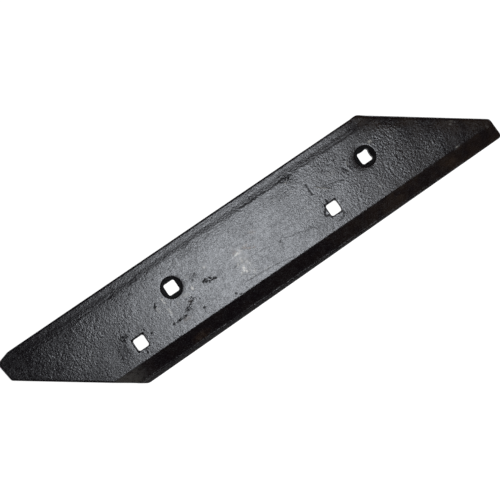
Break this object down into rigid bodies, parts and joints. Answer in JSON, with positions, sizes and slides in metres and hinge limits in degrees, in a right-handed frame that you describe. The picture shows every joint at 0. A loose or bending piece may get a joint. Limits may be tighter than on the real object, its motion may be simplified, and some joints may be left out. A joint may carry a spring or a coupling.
{
  "type": "cultivator blade",
  "caption": "Flat forged blade with slanted ends, clipped tips, a long bevelled cutting edge and square countersunk bolt holes on both faces.",
  "frame": {"origin": "middle of the blade's box, on the flat back that it lies on", "axes": "+X along the blade, +Y from the bevelled cutting edge towards the rear edge, +Z out of the bevelled face"},
  "size_m": [0.5764, 0.1104, 0.012],
  "materials": {
    "blade": "satin black paint over a forged skin"
  },
  "bodies": {
    "root": {"blade": "blade"}
  },
  "joints": []
}
